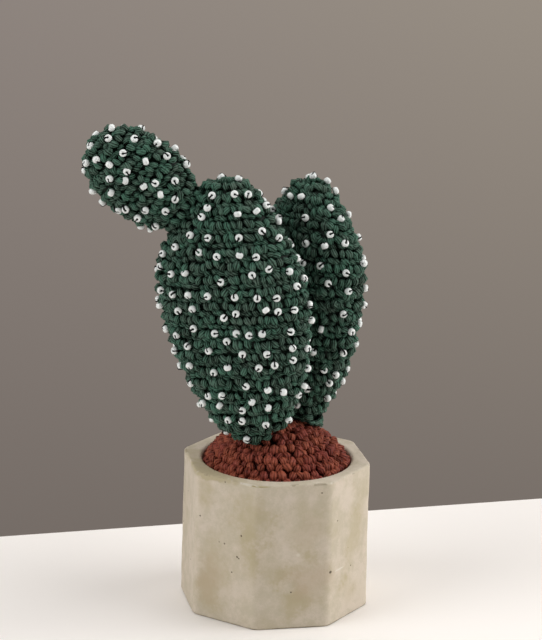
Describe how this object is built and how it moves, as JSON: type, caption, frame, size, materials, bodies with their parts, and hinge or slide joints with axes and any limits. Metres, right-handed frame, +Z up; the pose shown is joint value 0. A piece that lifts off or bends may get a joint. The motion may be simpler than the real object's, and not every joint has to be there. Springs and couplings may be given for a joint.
{
  "type": "crocheted bunny ears cactus in a concrete pot",
  "caption": "Crocheted bunny ears cactus: three flat stuffed pads sewn with white beads, standing on a crocheted soil mound in an eight-sided concrete pot.",
  "frame": {"origin": "middle of the pot's underside, on the surface that the pot stands on", "axes": "+Z up; two flats of the pot face -Y and +Y; the pads turn their faces to -Y and the small pad leans out to -X"},
  "size_m": [0.1038, 0.0646, 0.1799],
  "materials": {
    "concrete": "cast grey-beige concrete, matt, with cloudy patches and pin-holes",
    "soil_yarn": "rust-brown crocheted cotton",
    "green_yarn": "dark green crocheted cotton with a soft sheen"
  },
  "bodies": {
    "root": {"pot": "concrete", "soil": "soil_yarn", "pad_front": "green_yarn", "pad_back": "green_yarn", "pad_small": "green_yarn"}
  },
  "joints": []
}
